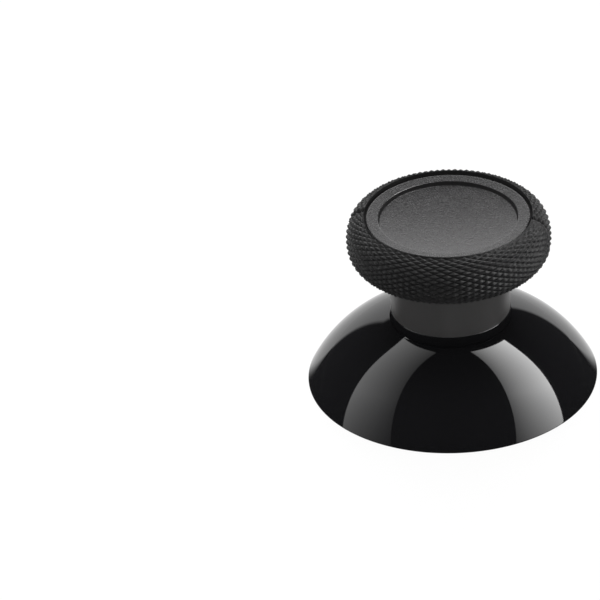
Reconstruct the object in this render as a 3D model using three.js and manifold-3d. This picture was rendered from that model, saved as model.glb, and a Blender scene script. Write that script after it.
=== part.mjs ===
// Thumbstick cap of a game controller: a rigid gloss moulding and the soft knurled grip moulded over its head.
// Millimetres, +Z up. The origin is the middle of the plane that the skirt's rim stands on.
import * as THREE from 'three';
import { mergeVertices } from 'three/addons/utils/BufferGeometryUtils.js';
import Module from 'manifold-3d';

// Skirt: the dome that slides under the controller's housing
const SKIRT_DIAMETER = 25.4;
const SKIRT_WALL = 0.9;
const DOME_CROWN_RADIUS = 12.2;
const DOME_HEIGHT = 6.15;

// Neck: a tube that leaves the dome with almost no fillet
const NECK_DIAMETER = 10.4;
const NECK_LENGTH = 5.33;
const NECK_FOOT_FILLET = 0.15;
const NECK_HEAD_FILLET = 0.3;
const BORE_DIAMETER = 8.6;
const BORE_DRAFT = 0.1;
const BORE_LEAD_IN = 0.9;

// Head: the rigid flange at the top of the neck, hidden in the grip above its edge
const HEAD_EDGE_DIAMETER = 14.0;
const HEAD_SEAT_WIDTH = 0.6;
const HEAD_WAIST_HEIGHT = 1.0;
const HEAD_LIP_DIAMETER = 14.6;
const HEAD_LIP_CHAMFER = 0.45;
const HEAD_CEILING = 1.6;

// Grip: its knurled side bulges between the head's edge and the ring round the dish
const GRIP_DIAMETER = 17.74;
const GRIP_LOWER_HEIGHT = 2.48;
const GRIP_UPPER_HEIGHT = 2.34;
const GRIP_LOWER_SQUARENESS = 2.65;
const GRIP_UPPER_SQUARENESS = 2.26;
const GRIP_SKIN = 0.8;

// Knurl: diamond pyramids in staggered rows. Each half of the grip shallows only where it ends, counting
// anticlockwise, at a mould seam: at +X and at -X. The next half starts there at its full depth.
const KNURL_DIAMONDS_AROUND = 48;
const KNURL_DIAMOND_HEIGHT = 0.49;
const KNURL_DEPTH = 0.16;
const KNURL_SEAM_SHARE = 0.4;
const KNURL_FADE_DEGREES = 20;

// Top: groove, flat ring, step and concave dish
const RING_DIAMETER = 14.1;
const RING_DROP = 0.29;
const RING_CHAMFER = 0.1;
const GROOVE_WIDTH = 0.2;
const GROOVE_DEPTH = 0.3;
const DISH_DIAMETER = 12.0;
const DISH_STEP = 0.42;
const DISH_STEP_DRAFT = 0.06;
const DISH_HOLLOW = 0.3;

// Boss: the tube that takes the joystick's post, on four arms with thin webs out to the dome
const BOSS_DIAMETER = 5.6;
const BOSS_FACE_HEIGHT = 1.9;
const SOCKET_DIAMETER = 4.2;
const SOCKET_ACROSS_FLATS = 3.25;
const SOCKET_DEPTH = 7.5;
const SOCKET_CHAMFER = 0.25;
const SOCKET_FLATS_DEGREES = 45;
const RELIEF_RADIUS = 0.5;
const RELIEF_DEPTH = 0.18;
const ARM_COUNT = 4;
const ARM_WIDTH = 2.25;
const ARM_REACH = 4.55;
const ARM_ROOT_FILLET = 0.5;
const ARM_END_WIDTH = 2.35;
const ARM_END_LENGTH = 1.1;
const ARM_END_SETBACK = 0.5;
const WEB_THICKNESS = 0.5;
const WEB_SETBACK = 0.1;
const WEB_REACH = 2.65;
const WEB_RISE = 1.2;

// Facets
const ROUND_SEGMENTS = 56;
const DOME_STEPS = 8;
const FILLET_STEPS = 3;
const DISH_STEPS = 3;
const SIDE_SAMPLES = 120;
const WELD_TOLERANCE = 1e-5;
const CUT_CLEARANCE = 1.0;

// Radii and heights that follow from the dimensions
const skirtRadius = SKIRT_DIAMETER / 2;
const neckRadius = NECK_DIAMETER / 2;
const boreRadius = BORE_DIAMETER / 2;
const headEdgeRadius = HEAD_EDGE_DIAMETER / 2;
const headLipRadius = HEAD_LIP_DIAMETER / 2;
const gripRadius = GRIP_DIAMETER / 2;
const ringRadius = RING_DIAMETER / 2;
const dishRadius = DISH_DIAMETER / 2;
const bossRadius = BOSS_DIAMETER / 2;
const socketRadius = SOCKET_DIAMETER / 2;
const undersideHeight = DOME_HEIGHT + NECK_LENGTH;
const widestHeight = undersideHeight + GRIP_LOWER_HEIGHT;
const topHeight = widestHeight + GRIP_UPPER_HEIGHT;
const ringHeight = topHeight - RING_DROP;
const dishEdgeHeight = ringHeight - DISH_STEP;
const headTopHeight = dishEdgeHeight - DISH_HOLLOW - GRIP_SKIN;
const ceilingHeight = headTopHeight - HEAD_CEILING;

const wasm = await Module();
wasm.setup();

const degrees = THREE.MathUtils.degToRad;
const point = (x, y) => new THREE.Vector2(x, y);

// A welded solid from any closed geometry; triangles that shrank to a line at a pole are left out
function toSolid(geometry) {
  const bare = geometry.clone();
  bare.deleteAttribute('normal');
  bare.deleteAttribute('uv');
  const welded = mergeVertices(bare, WELD_TOLERANCE);
  const corners = welded.getIndex().array;
  const triangles = [];
  for (let i = 0; i < corners.length; i += 3) {
    const [a, b, c] = [corners[i], corners[i + 1], corners[i + 2]];
    if (a !== b && b !== c && c !== a) triangles.push(a, b, c);
  }
  const vertProperties = Float32Array.from(welded.getAttribute('position').array);
  const triVerts = Uint32Array.from(triangles);
  return new wasm.Manifold(new wasm.Mesh({ numProp: 3, vertProperties, triVerts }));
}

function toGeometry(solid) {
  const mesh = solid.getMesh();
  const geometry = new THREE.BufferGeometry();
  geometry.setAttribute('position', new THREE.BufferAttribute(Float32Array.from(mesh.vertProperties), 3));
  geometry.setIndex(new THREE.BufferAttribute(Uint32Array.from(mesh.triVerts), 1));
  geometry.computeVertexNormals();
  return geometry;
}

// A solid of revolution about Z from an outline of (radius, height) points that runs up the outside
function revolve(outline) {
  const geometry = new THREE.LatheGeometry(outline, ROUND_SEGMENTS);
  geometry.rotateX(Math.PI / 2);
  return toSolid(geometry);
}

// A straight solid from a flat shape, standing between two heights
function prism(shape, bottom, top) {
  const geometry = new THREE.ExtrudeGeometry(shape, {
    depth: top - bottom,
    bevelEnabled: false,
    curveSegments: ROUND_SEGMENTS / 4,
  });
  geometry.translate(0, 0, bottom);
  return toSolid(geometry);
}

function turned(solid, angleDegrees) {
  return solid.rotate([0, 0, angleDegrees]);
}

function arc(centre, radius, from, to, steps) {
  const curve = new THREE.EllipseCurve(centre.x, centre.y, radius, radius, from, to, to < from);
  return curve.getPoints(steps);
}

function angleFrom(centre, end) {
  return Math.atan2(end.y - centre.y, end.x - centre.x);
}

// The centre of the dome's arc, which runs from the rim's outer edge to the neck's surface
function domeArcCentre() {
  const rim = point(skirtRadius, 0);
  const shoulder = point(neckRadius, DOME_HEIGHT);
  const middle = rim.clone().add(shoulder).multiplyScalar(1 / 2);
  const along = shoulder.clone().sub(rim);
  const inward = point(-along.y, along.x).normalize();
  const distance = Math.sqrt(DOME_CROWN_RADIUS ** 2 - (along.length() / 2) ** 2);
  return middle.add(inward.multiplyScalar(distance));
}

const domeCentre = domeArcCentre();

// The radius at which an arc about the dome's centre meets the rim plane
function radiusAtRim(arcRadius) {
  return domeCentre.x + Math.sqrt(arcRadius ** 2 - domeCentre.y ** 2);
}

// A dome arc from the rim plane up to a wall of the given radius, with a round of the given size in the corner
function domeToWall(arcRadius, wallRadius, cornerRadius) {
  const rim = point(radiusAtRim(arcRadius), 0);
  const reach = arcRadius + cornerRadius;
  const cornerX = wallRadius + cornerRadius;
  const cornerY = domeCentre.y + Math.sqrt(reach ** 2 - (cornerX - domeCentre.x) ** 2);
  const corner = point(cornerX, cornerY);
  const meeting = angleFrom(domeCentre, corner);
  const dome = arc(domeCentre, arcRadius, angleFrom(domeCentre, rim), meeting, DOME_STEPS);
  const round = arc(corner, cornerRadius, meeting - Math.PI, -Math.PI, FILLET_STEPS);
  return [...dome, ...round.slice(1)];
}

// Radius and height of the knurl's crests, level at -90 and +90 degrees and upright at the widest place
function sideCentre(angle) {
  return angle > 0 ? ringRadius : neckRadius;
}

function sidePower(angle) {
  return 2 / (angle > 0 ? GRIP_UPPER_SQUARENESS : GRIP_LOWER_SQUARENESS);
}

function sidePoint(angle) {
  const centre = sideCentre(angle);
  const height = angle > 0 ? GRIP_UPPER_HEIGHT : GRIP_LOWER_HEIGHT;
  const radius = centre + (gripRadius - centre) * Math.cos(angle) ** sidePower(angle);
  const rise = Math.sign(angle) * height * Math.abs(Math.sin(angle)) ** sidePower(angle);
  return point(radius, widestHeight + rise);
}

function sideAngleAtRadius(radius, sign) {
  const centre = sideCentre(sign);
  return sign * Math.acos(((radius - centre) / (gripRadius - centre)) ** (1 / sidePower(sign)));
}

const grooveRadius = ringRadius + GROOVE_WIDTH;
const sideBottomAngle = sideAngleAtRadius(headEdgeRadius, -1);
const sideTopAngle = sideAngleAtRadius(grooveRadius, 1);
const seatHeight = sidePoint(sideBottomAngle).y;

function sideCurve() {
  const samples = [];
  for (let i = 0; i <= SIDE_SAMPLES; i += 1) {
    samples.push(sidePoint(THREE.MathUtils.lerp(sideBottomAngle, sideTopAngle, i / SIDE_SAMPLES)));
  }
  return new THREE.SplineCurve(samples);
}

// Rigid moulding

// The head above its edge, from the axis outward: waist, lip and flat top
function headOutline() {
  const waistRadius = headEdgeRadius - HEAD_SEAT_WIDTH;
  const lipBottom = seatHeight + HEAD_WAIST_HEIGHT;
  const lipOverhang = headLipRadius - waistRadius;
  return [
    point(waistRadius, seatHeight),
    point(waistRadius, lipBottom),
    point(headLipRadius, lipBottom + lipOverhang / 2),
    point(headLipRadius, headTopHeight - HEAD_LIP_CHAMFER),
    point(headLipRadius - HEAD_LIP_CHAMFER, headTopHeight),
    point(0, headTopHeight),
  ];
}

function mouldingOutline() {
  const headFillet = point(neckRadius + NECK_HEAD_FILLET, undersideHeight - NECK_HEAD_FILLET);
  const outside = [
    ...domeToWall(DOME_CROWN_RADIUS, neckRadius, NECK_FOOT_FILLET),
    ...arc(headFillet, NECK_HEAD_FILLET, Math.PI, Math.PI / 2, FILLET_STEPS),
    point(headEdgeRadius, undersideHeight),
    point(headEdgeRadius, seatHeight),
    ...headOutline(),
  ];
  const inside = [
    ...domeToWall(DOME_CROWN_RADIUS - SKIRT_WALL, boreRadius, BORE_LEAD_IN),
    point(boreRadius - BORE_DRAFT, ceilingHeight),
    point(0, ceilingHeight),
  ];
  return [...inside.reverse(), ...outside];
}

// The hollow grown half a wall into the material, where the arms and webs end
function hollowLimit() {
  const domeMiddle = DOME_CROWN_RADIUS - SKIRT_WALL / 2;
  const boreMiddle = (boreRadius + neckRadius) / 2;
  const outline = [
    point(0, 0),
    ...domeToWall(domeMiddle, boreMiddle, BORE_LEAD_IN),
    point(boreMiddle, ceilingHeight + HEAD_CEILING / 2),
    point(0, ceilingHeight + HEAD_CEILING / 2),
  ];
  return revolve(outline);
}

function rectangle(left, right, width) {
  const shape = new THREE.Shape();
  shape.moveTo(left, -width / 2);
  shape.lineTo(right, -width / 2);
  shape.lineTo(right, width / 2);
  shape.lineTo(left, width / 2);
  shape.closePath();
  return shape;
}

// Boss and arms in one outline, with a fillet where each side of an arm runs into the round boss
function crossShape() {
  const half = ARM_WIDTH / 2;
  const filletAcross = half + ARM_ROOT_FILLET;
  const filletAlong = Math.sqrt((bossRadius + ARM_ROOT_FILLET) ** 2 - filletAcross ** 2);
  const filletAngle = Math.atan2(filletAcross, filletAlong);
  const quarter = (2 * Math.PI) / ARM_COUNT;
  const origin = point(0, 0);
  const shape = new THREE.Shape();
  for (let arm = 0; arm < ARM_COUNT; arm += 1) {
    const turn = arm * quarter;
    const place = (x, y) => point(x, y).rotateAround(origin, turn);
    const tip = [place(ARM_REACH, -half), place(ARM_REACH, half)];
    const leaving = place(filletAlong, filletAcross);
    const arriving = place(filletAlong, filletAcross).rotateAround(origin, quarter - 2 * filletAngle);
    if (arm === 0) shape.moveTo(tip[0].x, tip[0].y);
    else shape.lineTo(tip[0].x, tip[0].y);
    shape.lineTo(tip[1].x, tip[1].y);
    const offArm = turn - Math.PI / 2;
    const toBoss = turn + filletAngle - Math.PI;
    shape.absarc(leaving.x, leaving.y, ARM_ROOT_FILLET, offArm, toBoss, true);
    shape.absarc(0, 0, bossRadius, turn + filletAngle, turn + quarter - filletAngle, false);
    const offBoss = turn + quarter - filletAngle + Math.PI;
    const toArm = turn + quarter + Math.PI / 2;
    shape.absarc(arriving.x, arriving.y, ARM_ROOT_FILLET, offBoss, toArm, true);
  }
  shape.closePath();
  return shape;
}

// A thin upright web whose lower edge climbs from an arm's end to the dome
function web() {
  const start = ARM_REACH + ARM_END_LENGTH;
  const bottom = BOSS_FACE_HEIGHT + ARM_END_SETBACK + WEB_SETBACK;
  const side = new THREE.Shape();
  side.moveTo(start - ARM_END_LENGTH / 2, bottom);
  side.lineTo(start, bottom);
  side.lineTo(start + WEB_REACH, bottom + WEB_RISE);
  side.lineTo(skirtRadius, bottom + WEB_RISE);
  side.lineTo(skirtRadius, DOME_HEIGHT);
  side.lineTo(start - ARM_END_LENGTH / 2, DOME_HEIGHT);
  side.closePath();
  const geometry = new THREE.ExtrudeGeometry(side, { depth: WEB_THICKNESS, bevelEnabled: false });
  geometry.translate(0, 0, -WEB_THICKNESS / 2);
  geometry.rotateX(Math.PI / 2);
  return toSolid(geometry);
}

function ribs() {
  const top = ceilingHeight + HEAD_CEILING;
  const endBottom = BOSS_FACE_HEIGHT + ARM_END_SETBACK;
  const end = prism(rectangle(ARM_REACH - ARM_END_LENGTH, ARM_REACH + ARM_END_LENGTH, ARM_END_WIDTH), endBottom, top);
  let solid = prism(crossShape(), BOSS_FACE_HEIGHT, top);
  for (let arm = 0; arm < ARM_COUNT; arm += 1) {
    const angle = (360 / ARM_COUNT) * arm;
    solid = solid.add(turned(end, angle)).add(turned(web(), angle));
  }
  return solid.intersect(hollowLimit());
}

// The socket for the post: a round hole with two flats, a mouth chamfer on the round sides only,
// and a shallow round relief along the middle of one flat
function socket() {
  const bottom = BOSS_FACE_HEIGHT - CUT_CLEARANCE;
  const top = BOSS_FACE_HEIGHT + SOCKET_DEPTH;
  const round = new THREE.Shape().absarc(0, 0, socketRadius, 0, 2 * Math.PI, false);
  const between = prism(rectangle(-SOCKET_ACROSS_FLATS / 2, SOCKET_ACROSS_FLATS / 2, 2 * SKIRT_DIAMETER), bottom, top);
  const mouth = new THREE.CylinderGeometry(
    socketRadius,
    socketRadius + SOCKET_CHAMFER + CUT_CLEARANCE,
    SOCKET_CHAMFER + CUT_CLEARANCE,
    ROUND_SEGMENTS,
  );
  mouth.rotateX(Math.PI / 2);
  mouth.translate(0, 0, BOSS_FACE_HEIGHT + (SOCKET_CHAMFER - CUT_CLEARANCE) / 2);
  const reliefCentre = SOCKET_ACROSS_FLATS / 2 + RELIEF_DEPTH - RELIEF_RADIUS;
  const relief = prism(new THREE.Shape().absarc(reliefCentre, 0, RELIEF_RADIUS, 0, 2 * Math.PI, false), bottom, top);
  const hole = prism(round, bottom, top).add(toSolid(mouth)).intersect(between).add(relief);
  return turned(hole, SOCKET_FLATS_DEGREES);
}

function skirtAndStem() {
  const shell = revolve(mouldingOutline());
  return toGeometry(shell.add(ribs()).subtract(socket()));
}

// Soft grip

// How much of the full knurl depth is left at an angle round the grip
function knurlShare(angle) {
  const toSeam = Math.PI - (angle % Math.PI);
  const reach = Math.min(1, toSeam / degrees(KNURL_FADE_DEGREES));
  return THREE.MathUtils.lerp(KNURL_SEAM_SHARE, 1, reach);
}

// The grip's outer body. Its side is a grid of half diamonds: crests on one colour of the chessboard
// and valleys on the other, each quad split along its valleys, so every diamond is a four-sided pyramid.
function knurledBody() {
  const curve = sideCurve();
  const columns = 2 * KNURL_DIAMONDS_AROUND;
  const bands = 2 * Math.round(curve.getLength() / KNURL_DIAMOND_HEIGHT);
  const positions = [];
  for (let row = 0; row <= bands; row += 1) {
    const place = curve.getPointAt(row / bands);
    const along = curve.getTangentAt(row / bands);
    const outward = point(along.y, -along.x);
    const isEnd = row === 0 || row === bands;
    for (let column = 0; column < columns; column += 1) {
      const angle = (column / columns) * 2 * Math.PI;
      const isCrest = !isEnd && (row + column) % 2 === 0;
      const sink = isCrest ? 0 : KNURL_DEPTH * knurlShare(angle);
      const radius = place.x - (isEnd ? 0 : outward.x * sink);
      const height = place.y - (isEnd ? 0 : outward.y * sink);
      positions.push(radius * Math.cos(angle), radius * Math.sin(angle), height);
    }
  }
  const index = [];
  const at = (row, column) => row * columns + (column % columns);
  for (let row = 0; row < bands; row += 1) {
    for (let column = 0; column < columns; column += 1) {
      const [a, b] = [at(row, column), at(row, column + 1)];
      const [d, c] = [at(row + 1, column), at(row + 1, column + 1)];
      const valleyRises = (row + column) % 2 !== 0;
      if (valleyRises) index.push(a, b, c, a, c, d);
      else index.push(a, b, d, b, c, d);
    }
  }
  const bottomPole = positions.length / 3;
  const topPole = bottomPole + 1;
  positions.push(0, 0, curve.getPointAt(0).y, 0, 0, curve.getPointAt(1).y);
  for (let column = 0; column < columns; column += 1) {
    index.push(bottomPole, at(0, column + 1), at(0, column));
    index.push(topPole, at(bands, column), at(bands, column + 1));
  }
  const geometry = new THREE.BufferGeometry();
  geometry.setAttribute('position', new THREE.Float32BufferAttribute(positions, 3));
  geometry.setIndex(index);
  return toSolid(geometry);
}

// What is cut out of the top: the dish, the space above the ring, and the groove inside the knurl
function topCut() {
  const hollowRadius = ((dishRadius - DISH_STEP_DRAFT) ** 2 + DISH_HOLLOW ** 2) / (2 * DISH_HOLLOW);
  const hollowCentre = point(0, dishEdgeHeight - DISH_HOLLOW + hollowRadius);
  const dishEdge = point(dishRadius - DISH_STEP_DRAFT, dishEdgeHeight);
  const above = topHeight + CUT_CLEARANCE;
  const outline = [
    ...arc(hollowCentre, hollowRadius, -Math.PI / 2, angleFrom(hollowCentre, dishEdge), DISH_STEPS),
    point(dishRadius, ringHeight - RING_CHAMFER),
    point(dishRadius + RING_CHAMFER, ringHeight),
    point(ringRadius - RING_CHAMFER, ringHeight),
    point(ringRadius, ringHeight - RING_CHAMFER),
    point(ringRadius, ringHeight - GROOVE_DEPTH),
    point(grooveRadius, ringHeight - GROOVE_DEPTH),
    point(grooveRadius, above),
    point(0, above),
  ];
  return revolve(outline);
}

function headSpace() {
  return revolve([point(0, seatHeight), ...headOutline()]);
}

function knurledGrip() {
  return toGeometry(knurledBody().subtract(topCut()).subtract(headSpace()));
}

function piece(name, geometry, material) {
  const mesh = new THREE.Mesh(geometry, material);
  mesh.name = name;
  return mesh;
}

const glossPlastic = new THREE.MeshStandardMaterial({ color: 0x121214, roughness: 0.12, metalness: 0 });
const matteRubber = new THREE.MeshStandardMaterial({ color: 0x2b2b2c, roughness: 0.75, metalness: 0 });

const thumbstickCap = new THREE.Group();
thumbstickCap.add(piece('skirt_and_stem', skirtAndStem(), glossPlastic));
thumbstickCap.add(piece('knurled_grip', knurledGrip(), matteRubber));

export default thumbstickCap;
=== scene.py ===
"""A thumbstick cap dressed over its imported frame: gloss moulding, knurled soft grip, studio and camera.

Blender 4.5, metres, +Z up. The origin is the middle of the plane that the skirt's rim stands on.
"""
import math

import bpy
import numpy as np
from bpy.props import FloatProperty, FloatVectorProperty, IntProperty, PointerProperty
from bpy.types import Operator, Panel, PropertyGroup
from mathutils import Matrix, Vector


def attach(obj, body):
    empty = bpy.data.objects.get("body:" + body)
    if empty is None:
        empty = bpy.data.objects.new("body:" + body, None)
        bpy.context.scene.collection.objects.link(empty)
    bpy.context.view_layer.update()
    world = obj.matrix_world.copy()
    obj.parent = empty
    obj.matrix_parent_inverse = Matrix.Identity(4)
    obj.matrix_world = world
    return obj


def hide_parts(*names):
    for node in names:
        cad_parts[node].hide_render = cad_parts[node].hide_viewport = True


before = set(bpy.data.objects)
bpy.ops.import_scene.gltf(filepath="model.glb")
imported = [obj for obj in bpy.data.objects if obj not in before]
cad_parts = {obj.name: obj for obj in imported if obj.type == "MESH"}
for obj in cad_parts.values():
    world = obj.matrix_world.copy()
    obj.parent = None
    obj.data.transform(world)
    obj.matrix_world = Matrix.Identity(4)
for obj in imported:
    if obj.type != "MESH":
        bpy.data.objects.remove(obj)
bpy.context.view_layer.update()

bl_info = {
    "name": "Thumbstick Cap",
    "version": (1, 0, 0),
    "blender": (4, 5, 0),
    "location": "3D View > Sidebar > Thumbstick Cap",
    "description": "Builds a thumbstick cap with a gloss skirt and a knurled grip, and its studio",
    "category": "Add Mesh",
}

MILLIMETRE = 0.001

# Longest sides of the outlines in metres: round the moulding, on the arms, and round the arms' tips.
MOULDING_SIDE = 0.0006
ARM_SIDE = 0.0003
TIP_SIDE = 0.0001
# Steps of the arcs: the dome outside and inside, the round where it runs into a wall, the dish from its
# edge to its middle, a fillet, and the boss between two arms.
DOME_STEPS, INSIDE_STEPS, CORNER_STEPS, DISH_STEPS, FILLET_STEPS, BOSS_STEPS = 72, 60, 12, 12, 8, 12
# Points along the grip's side from which its even lengths are read.
DENSE_POINTS = 4001
# Even angles round the boss, and the angles that follow the relief to each side of its middle, in radians.
# Angles that lie no further apart than the last number are one.
EVEN_ANGLES, RELIEF_ANGLES = 144, 33
RELIEF_SIDE, SAME_ANGLE = 0.5, 0.002
# Top of the rim's face and start of the inside's eroded finish, in metres, and how much of it the face has.
RIM_FACE_TOP, EROSION_START = 0.00003, 0.00002
RIM_EROSION = 0.35
# The neck's satin fades out between these distances from its surface, in metres.
SATIN_FADE = 0.0002, 0.0004
# Hidden overlap of the webs and the dome in metres, and the share of a web's thickness in each round.
WEB_OVERLAP = 0.0001
WEB_ROUND = 0.3
# The knurl reaches its depth over this part of a diamond at its two ends, and is shallowest over this part
# of the fade beside a seam. Two neighbouring columns whose notches add up to more are a seam.
END_FADE, SEAM_FLAT, SEAM_NOTCH = 0.3, 0.05, 0.7
# Places of the grip's materials in its list.
KNURL, TOP, WALL, SEAM_SHADE = range(4)

# Grains, each as grains per millimetre and how much the broader noise shows in it.
PITS = 3.2, 0.35
SILK = 9.0, 0.2
SWELL = 0.35, 0.5
ARM_GRAIN = 6.0, 0.4
RUBBER_GRAIN = 6.0, 0.25
WEAR = 1.1, 0.4
# Heights of the grains' bumps in metres.
PIT_DEPTH = 0.00012
SILK_DEPTH = 0.00002
ARM_DEPTH = 0.00004
RUBBER_DEPTH = 0.00007
# Heights of the rubber's grain between which its tone changes, and the least and most that its tone is
# multiplied by there and over the broader wear.
RUBBER_SPREAD = 0.36, 0.64
RUBBER_TONES = 0.74, 1.26
WEAR_TONES = 0.9, 1.1

# A place in the opening of the tent has a positive part along each of these directions. A place between
# the cards has a part over minus the offset along each of theirs. Both edges are soft, in metres.
TENT_OPENING = (1.0, 0.667, -0.36), (-1.0, 0.645, -0.76), (0.0, 0.58, -1.0)
TENT_SOFTNESS = 0.1125
CARD_OPENING = (1.0, 0.65, 0.0), (-1.0, 0.65, 0.0)
CARD_OFFSET = 0.0121
CARD_SOFTNESS = 0.0012
# How brightly the black cloth and the floor's even white glow, and the share of that white where it is seen.
CLOTH_GLOW = 0.02
FLOOR_GLOW, FLOOR_SHARE = 1.03, 0.9


def length(name, description, default):
    """A size in metres."""
    return FloatProperty(name=name, description=description, default=default, precision=5, unit="LENGTH")


def turn(name, description, degrees):
    """An angle, written in degrees and kept in radians."""
    return FloatProperty(name=name, description=description, default=math.radians(degrees), subtype="ANGLE")


def share(name, description, default):
    """A number from 0 to 1."""
    return FloatProperty(name=name, description=description, default=default, min=0, max=1, subtype="FACTOR")


def colour(name, description, default):
    """A linear colour."""
    return FloatVectorProperty(
        name=name, description=description, default=default, min=0, max=1, subtype="COLOR")


def number(name, description, default):
    """A plain number."""
    return FloatProperty(name=name, description=description, default=default)


def triple(name, description, default):
    """Three plain numbers."""
    return FloatVectorProperty(name=name, description=description, default=default)


def count(name, description, default, least):
    """A whole number."""
    return IntProperty(name=name, description=description, default=default, min=least)


class SkirtSizes(PropertyGroup):
    """The gloss moulding: domed skirt, neck, head and bore"""

    diameter: length("Diameter", "Skirt across the rim", 0.0254)
    wall: length("Wall", "Thickness of the skirt", 0.0009)
    crown_radius: length("Crown radius", "Radius of the dome's arc", 0.0122)
    dome_height: length("Dome height", "Height where the dome's arc would meet the neck", 0.00615)
    neck_diameter: length("Neck diameter", "Neck across", 0.0104)
    neck_length: length("Neck length", "From the dome to the head's underside", 0.00533)
    foot_round: length("Foot round", "Fillet where the neck leaves the dome", 0.00015)
    collar_height: length("Collar height", "Dull foot of the neck, over the dome", 0.00075)
    collar_proud: length("Collar proud", "How far the collar stands proud of the neck", 0.00004)
    neck_overlap: length("Neck overlap", "Hidden overlap of the neck and the skirt", 0.0002)
    head_round: length("Head round", "Fillet under the head", 0.0003)
    bore_diameter: length("Bore diameter", "Hollow of the neck across", 0.0086)
    bore_draft: length("Bore draft", "How much narrower the bore's end is", 0.0001)
    bore_round: length("Bore round", "Round where the dome's inside runs into the bore", 0.0009)
    head_edge_diameter: length("Head edge", "Flange that shows under the grip", 0.0140)
    seat_width: length("Seat width", "How far the grip sits in on the flange", 0.0006)
    waist_height: length("Waist height", "Hidden waist above the flange", 0.0010)
    lip_diameter: length("Lip diameter", "Hidden lip that holds the grip", 0.0146)
    lip_chamfer: length("Lip chamfer", "Chamfer on the hidden lip", 0.00045)
    ceiling: length("Ceiling", "Thickness of the head over the bore", 0.0016)
    edge_round: length("Edge round", "Softness of the moulding's edges", 0.00009)
    columns: count("Columns", "Faces round the skirt", 224, 24)


class GripSizes(PropertyGroup):
    """The soft grip: knurled side, groove, ring and dish"""

    diameter: length("Diameter", "Grip across the knurl's crests", 0.01774)
    lower_height: length("Lower height", "From the head's underside to the widest place", 0.00248)
    upper_height: length("Upper height", "From the widest place to the top", 0.00234)
    lower_power: number("Lower power", "Squareness of the side under its widest place", 2.65)
    upper_power: number("Upper power", "Squareness of the side over its widest place", 2.26)
    skin: length("Skin", "Thickness over the head", 0.0008)
    ring_diameter: length("Ring diameter", "Flat ring across", 0.0141)
    ring_drop: length("Ring drop", "How far the ring lies below the top", 0.00029)
    ring_slope: length("Ring slope", "How far the ring's inner edge lies below its outer edge", 0.00005)
    ring_round: length("Ring round", "Softness of the ring's edges", 0.00009)
    groove_width: length("Groove width", "Gap between the knurl and the ring", 0.0002)
    groove_depth: length("Groove depth", "Depth of that gap below the ring", 0.0002)
    dish_diameter: length("Dish diameter", "Dish across its step", 0.0120)
    dish_step: length("Dish step", "Height of the step round the dish", 0.00042)
    dish_draft: length("Dish draft", "Slant of the step", 0.00006)
    dish_hollow: length("Dish hollow", "How far the dish sinks to its middle", 0.0003)
    diamonds_around: count("Diamonds around", "Knurl diamonds in one row", 48, 3)
    diamond_height: length("Diamond height", "Height of one diamond along the side", 0.00049)
    knurl_depth: length("Knurl depth", "From a crest to a valley", 0.00021)
    seam_share: share("Seam share", "Knurl depth left where the front half of the grip ends", 0.25)
    back_share: share("Back share", "Knurl depth left where the back half of the grip ends", 0.8)
    seam_fade: turn("Seam fade", "Angle over which the knurl gets shallower before a seam", 20)
    seam_depth: length("Seam depth", "Depth of the fine line at each mould seam", 0.00036)
    seam_columns: number("Seam columns", "Half the seam's width at its foot, in columns of faces", 2.6)
    steps: count("Steps", "Faces along one side of a diamond", 10, 4)
    inner_gap: length("Inner gap", "Hidden gap between the grip and the head", 0.00002)


class BossSizes(PropertyGroup):
    """The boss that takes the joystick's post, its four arms and their webs"""

    diameter: length("Diameter", "Boss across", 0.0056)
    face_height: length("Face height", "Boss face above the rim plane", 0.0019)
    socket_diameter: length("Socket diameter", "Socket across its round sides", 0.0042)
    across_flats: length("Across flats", "Socket across its two flats", 0.00325)
    socket_depth: length("Socket depth", "Depth of the socket", 0.0075)
    socket_chamfer: length("Socket chamfer", "Chamfer on the socket's round sides", 0.00025)
    flats_turn: turn("Flats turn", "Turn of the flats from the arms", 45)
    relief_radius: length("Relief radius", "Radius of the groove in one flat", 0.0005)
    relief_depth: length("Relief depth", "Depth of the groove in one flat", 0.00018)
    arm_width: length("Arm width", "Width of the arms", 0.00225)
    arm_reach: length("Arm reach", "From the axis to the end of an arm's upper step", 0.00455)
    root_round: length("Root round", "Fillet between an arm and the boss", 0.0005)
    end_width: length("End width", "Width of an arm's end block", 0.00235)
    end_length: length("End length", "How far the end block runs past the arm", 0.0011)
    end_setback: length("End setback", "How far the end block lies below the boss face", 0.0005)
    web_thickness: length("Web thickness", "Thickness of the webs", 0.0005)
    web_setback: length("Web setback", "How far a web starts behind its end block", 0.0001)
    web_reach: length("Web reach", "From the end block to the dome", 0.00265)
    web_rise: length("Web rise", "How much the web's edge climbs", 0.0012)
    hidden_below: length("Hidden below", "Arms and webs end this far below the dome's top", 0.0006)
    hidden_above: length("Hidden above", "How far the boss runs up into the head", 0.0008)
    edge_round: length("Edge round", "Softness of the edges", 0.00012)


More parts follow.
